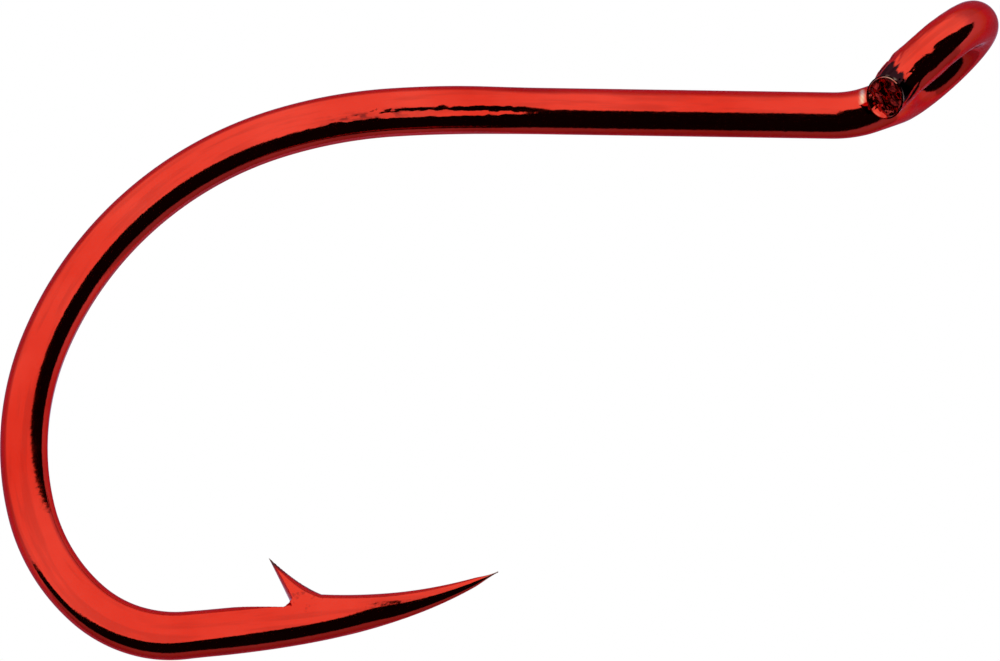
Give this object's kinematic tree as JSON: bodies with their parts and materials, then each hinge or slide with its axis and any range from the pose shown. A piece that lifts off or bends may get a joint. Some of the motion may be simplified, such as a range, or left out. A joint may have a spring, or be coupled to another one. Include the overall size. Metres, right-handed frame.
{
  "type": "fishing hook",
  "caption": "Short-shank, wide-gap barbed fish hook of forged steel wire, with a turned-up ring eye and a red lacquered finish.",
  "frame": {"origin": "the middle of the eye's hole", "axes": "+X along the shank towards the eye, +Z from the point up to the shank, Y across the hook's plane; the forged flats face -Y and +Y"},
  "size_m": [0.0238, 0.0038, 0.0165],
  "materials": {
    "lacquered_wire": "bright translucent red lacquer over polished steel wire"
  },
  "bodies": {
    "root": {"eye_ring": "lacquered_wire", "eye_closing_end": "lacquered_wire", "eye_root": "lacquered_wire", "neck": "lacquered_wire", "shank": "lacquered_wire", "forged_shoulder": "lacquered_wire", "bend_entry": "lacquered_wire", "bend_upper": "lacquered_wire", "bend_middle": "lacquered_wire", "bend_lower": "lacquered_wire", "bend_heel": "lacquered_wire", "throat": "lacquered_wire", "barb_seat": "lacquered_wire", "barb": "lacquered_wire", "point_spear": "lacquered_wire", "point_tip": "lacquered_wire"}
  },
  "joints": []
}
